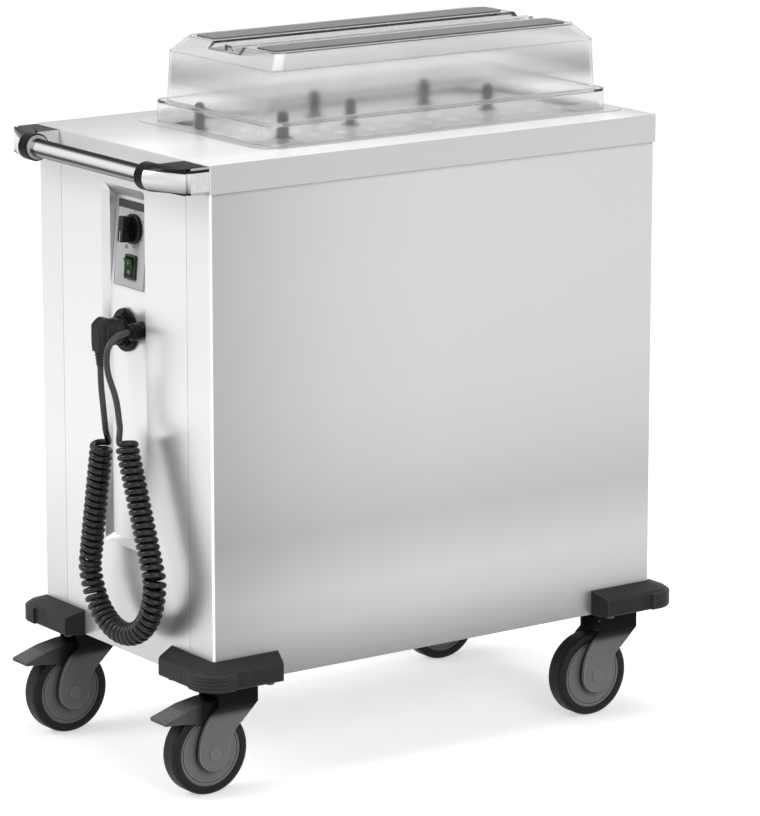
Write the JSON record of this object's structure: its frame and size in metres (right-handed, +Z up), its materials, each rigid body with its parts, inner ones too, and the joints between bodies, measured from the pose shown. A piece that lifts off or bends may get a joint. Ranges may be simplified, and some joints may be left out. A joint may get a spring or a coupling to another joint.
{
  "type": "heated plate dispenser",
  "caption": "Heated plate dispenser trolley with a sprung platform in a lidded well, push handle, thermostat, parked plug on a curly cord and swivel castors with brakes.",
  "frame": {"origin": "on the floor, below the middle of the overall length and width", "axes": "+Z up, +Y from the handle end to the far end, +X to the right of a person who stands at the handle"},
  "size_m": [0.514, 0.8772, 1.0262],
  "materials": {
    "stainless_satin": "satin",
    "stainless_inside": "satin",
    "stainless_bright": "satin",
    "pin_plastic": "matte",
    "spring_steel": "satin",
    "heater_sheath": "satin",
    "clear_plastic": "gloss",
    "lid_strip_grey": "matte",
    "light_grey_plastic": "matte",
    "silver_plastic": "satin",
    "bracket_black": "matte",
    "bumper_grey": "matte",
    "zinc_bolt": "satin",
    "fork_grey": "satin",
    "wheel_grey": "matte",
    "tyre_rubber": "matte",
    "pedal_black": "matte",
    "control_face": "satin",
    "control_black": "satin",
    "rocker_green": "gloss",
    "socket_black": "matte",
    "plug_black": "matte",
    "cord_black": "satin"
  },
  "bodies": {
    "cabinet": {"worktop": "stainless_satin", "side_panel_left": "stainless_satin", "side_panel_right": "stainless_satin", "operator_panel": "stainless_satin", "rear_panel": "stainless_satin", "base_tray": "stainless_inside", "corner_tabs": "stainless_inside", "well_liner": "stainless_inside", "well_floor": "stainless_inside", "spring_hangers": "stainless_inside", "heater_brackets": "stainless_inside", "handle_tube": "stainless_bright", "heater_element": "heater_sheath", "handle_collars": "light_grey_plastic", "handle_cover_left": "silver_plastic", "handle_cover_right": "silver_plastic", "handle_bracket_left": "bracket_black", "handle_bracket_right": "bracket_black", "bumper_front_left": "bumper_grey", "bumper_front_right": "bumper_grey", "bumper_rear_left": "bumper_grey", "bumper_rear_right": "bumper_grey", "bumper_bolts": "zinc_bolt", "castor_plates": "zinc_bolt", "control_plate": "control_face", "switch_bezel": "control_black", "thermostat_body": "control_black", "plug_holder": "socket_black", "cable_gland": "socket_black", "plug": "plug_black", "plug_boot": "plug_black", "cord_gland_lead": "cord_black", "cord_coil": "cord_black", "cord_plug_lead": "cord_black"},
    "lid": {"lid": "clear_plastic", "lid_strips": "lid_strip_grey"},
    "platform": {"platform": "stainless_bright", "guide_pins": "pin_plastic", "platform_carriage": "stainless_inside", "lift_springs": "spring_steel"},
    "knob": {"thermostat_knob": "control_black"},
    "rocker": {"switch_rocker": "rocker_green"},
    "pedal_left": {"brake_pedal_left": "pedal_black"},
    "pedal_right": {"brake_pedal_right": "pedal_black"},
    "fork_front_left": {"castor_fork_front_left": "fork_grey", "castor_axle_front_left": "zinc_bolt"},
    "wheel_front_left": {"castor_wheel_front_left": "wheel_grey", "castor_tyre_front_left": "tyre_rubber"},
    "fork_front_right": {"castor_fork_front_right": "fork_grey", "castor_axle_front_right": "zinc_bolt"},
    "wheel_front_right": {"castor_wheel_front_right": "wheel_grey", "castor_tyre_front_right": "tyre_rubber"},
    "fork_rear_left": {"castor_fork_rear_left": "fork_grey", "castor_axle_rear_left": "zinc_bolt"},
    "wheel_rear_left": {"castor_wheel_rear_left": "wheel_grey", "castor_tyre_rear_left": "tyre_rubber"},
    "fork_rear_right": {"castor_fork_rear_right": "fork_grey", "castor_axle_rear_right": "zinc_bolt"},
    "wheel_rear_right": {"castor_wheel_rear_right": "wheel_grey", "castor_tyre_rear_right": "tyre_rubber"}
  },
  "joints": [
    {"name": "lid_lift", "type": "slide", "parent": "cabinet", "child": "lid", "axis": [0, 0, 1], "range_m": [0, 0.25]},
    {"name": "platform_lift", "type": "slide", "parent": "cabinet", "child": "platform", "axis": [0, 0, 1], "range_m": [-0.42, 0], "stiffness_N_per_m": 900, "springref_m": 0.12, "deforming": ["lift_springs"]},
    {"name": "knob_turn", "type": "hinge", "parent": "cabinet", "child": "knob", "pos_m": [0.005, -0.35031, 0.77763], "axis": [0, 0.9958, -0.0919], "range_deg": [0, 270]},
    {"name": "rocker_tilt", "type": "hinge", "parent": "cabinet", "child": "rocker", "pos_m": [0.005, -0.35647, 0.72397], "axis": [1, 0, 0], "range_deg": [-16, 0]},
    {"name": "swivel_front_left", "type": "hinge", "parent": "cabinet", "child": "fork_front_left", "pos_m": [-0.187, -0.3204, 0.15], "axis": [0, 0, 1], "continuous": true},
    {"name": "roll_front_left", "type": "hinge", "parent": "fork_front_left", "child": "wheel_front_left", "pos_m": [-0.187, -0.3594, 0.0625], "axis": [1, 0, 0], "continuous": true},
    {"name": "swivel_front_right", "type": "hinge", "parent": "cabinet", "child": "fork_front_right", "pos_m": [0.187, -0.3204, 0.15], "axis": [0, 0, 1], "continuous": true},
    {"name": "roll_front_right", "type": "hinge", "parent": "fork_front_right", "child": "wheel_front_right", "pos_m": [0.187, -0.3594, 0.0625], "axis": [1, 0, 0], "continuous": true},
    {"name": "swivel_rear_left", "type": "hinge", "parent": "cabinet", "child": "fork_rear_left", "pos_m": [-0.187, 0.3586, 0.15], "axis": [0, 0, 1], "continuous": true},
    {"name": "roll_rear_left", "type": "hinge", "parent": "fork_rear_left", "child": "wheel_rear_left", "pos_m": [-0.187, 0.3196, 0.0625], "axis": [1, 0, 0], "continuous": true},
    {"name": "swivel_rear_right", "type": "hinge", "parent": "cabinet", "child": "fork_rear_right", "pos_m": [0.187, 0.3586, 0.15], "axis": [0, 0, 1], "continuous": true},
    {"name": "roll_rear_right", "type": "hinge", "parent": "fork_rear_right", "child": "wheel_rear_right", "pos_m": [0.187, 0.3196, 0.0625], "axis": [1, 0, 0], "continuous": true},
    {"name": "brake_left", "type": "hinge", "parent": "fork_front_left", "child": "pedal_left", "pos_m": [-0.187, -0.3329, 0.134], "axis": [1, 0, 0], "range_deg": [0, 10]},
    {"name": "brake_right", "type": "hinge", "parent": "fork_front_right", "child": "pedal_right", "pos_m": [0.187, -0.3329, 0.134], "axis": [1, 0, 0], "range_deg": [0, 10]}
  ]
}
